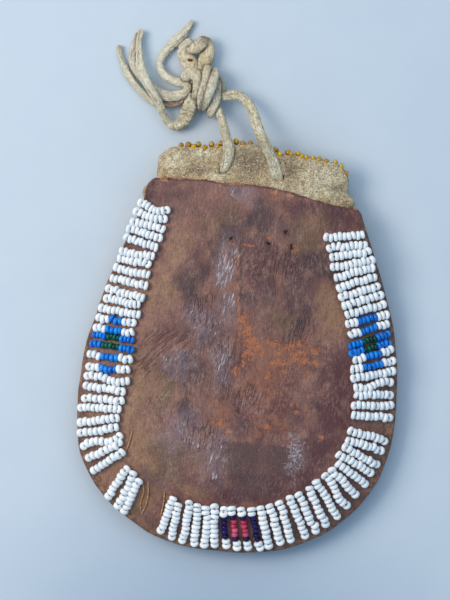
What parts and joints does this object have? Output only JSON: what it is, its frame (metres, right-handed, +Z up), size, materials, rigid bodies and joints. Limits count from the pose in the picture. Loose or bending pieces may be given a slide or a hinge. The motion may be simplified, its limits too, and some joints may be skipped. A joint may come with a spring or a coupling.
{
  "type": "strike-a-light pouch",
  "caption": "Small pear-shaped leather pouch, worn at the belt, with a suede collar, seed-bead rows round its margin and a knotted hide drawstring.",
  "frame": {"origin": "on the surface the pouch lies on, under the middle of the bag and its collar, without the thongs", "axes": "+Y along the bag from foot to mouth, +Z up out of the beaded front, +X across to the right"},
  "size_m": [0.0896, 0.1481, 0.013],
  "materials": {
    "brown_leather": "smooth, worn",
    "tan_suede": "napped",
    "cream_hide": "matte",
    "white_bead": "glossy, opaque",
    "blue_bead": "glossy, opaque",
    "navy_bead": "glossy, opaque",
    "amber_bead": "glossy, translucent"
  },
  "bodies": {
    "root": {"back_panel": "brown_leather", "bead_rows_foot_01": "white_bead", "bead_rows_foot_02": "white_bead", "bead_rows_foot_03": "white_bead", "bead_rows_foot_04": "navy_bead", "bead_rows_foot_05": "navy_bead", "bead_rows_foot_06": "white_bead", "bead_rows_foot_07": "white_bead", "bead_rows_foot_08": "white_bead", "bead_rows_foot_09": "white_bead", "bead_rows_foot_10": "white_bead", "bead_rows_foot_11": "white_bead", "bead_rows_foot_12": "white_bead", "bead_rows_left_foot_01": "white_bead", "bead_rows_left_foot_02": "white_bead", "bead_rows_left_low_01": "white_bead", "bead_rows_left_low_02": "white_bead", "bead_rows_left_low_03": "white_bead", "bead_rows_left_side_01": "white_bead", "bead_rows_left_side_02": "white_bead", "bead_rows_left_side_03": "white_bead", "bead_rows_left_side_04": "white_bead", "bead_rows_left_side_05": "white_bead", "bead_rows_left_side_06": "blue_bead", "bead_rows_left_side_07": "white_bead", "bead_rows_left_top_01": "white_bead", "bead_rows_left_top_02": "white_bead", "bead_rows_left_top_03": "white_bead", "bead_rows_left_turn_01": "white_bead", "bead_rows_left_turn_02": "white_bead", "bead_rows_right_low_01": "white_bead", "bead_rows_right_low_02": "white_bead", "bead_rows_right_low_03": "white_bead", "bead_rows_right_side_01": "white_bead", "bead_rows_right_side_02": "blue_bead", "bead_rows_right_side_03": "blue_bead", "bead_rows_right_side_04": "white_bead", "bead_rows_right_side_05": "white_bead", "bead_rows_right_side_06": "white_bead", "bead_rows_right_side_07": "white_bead", "bead_rows_right_side_08": "white_bead", "drawstring_thong": "cream_hide", "edge_beads_left": "amber_bead", "edge_beads_middle": "amber_bead", "edge_beads_right": "amber_bead", "front_panel": "brown_leather", "suede_collar": "tan_suede", "thong_knot": "cream_hide", "thong_loop": "cream_hide", "thong_low_end": "cream_hide", "thong_over_end": "cream_hide", "tie_thong": "cream_hide"}
  },
  "joints": []
}
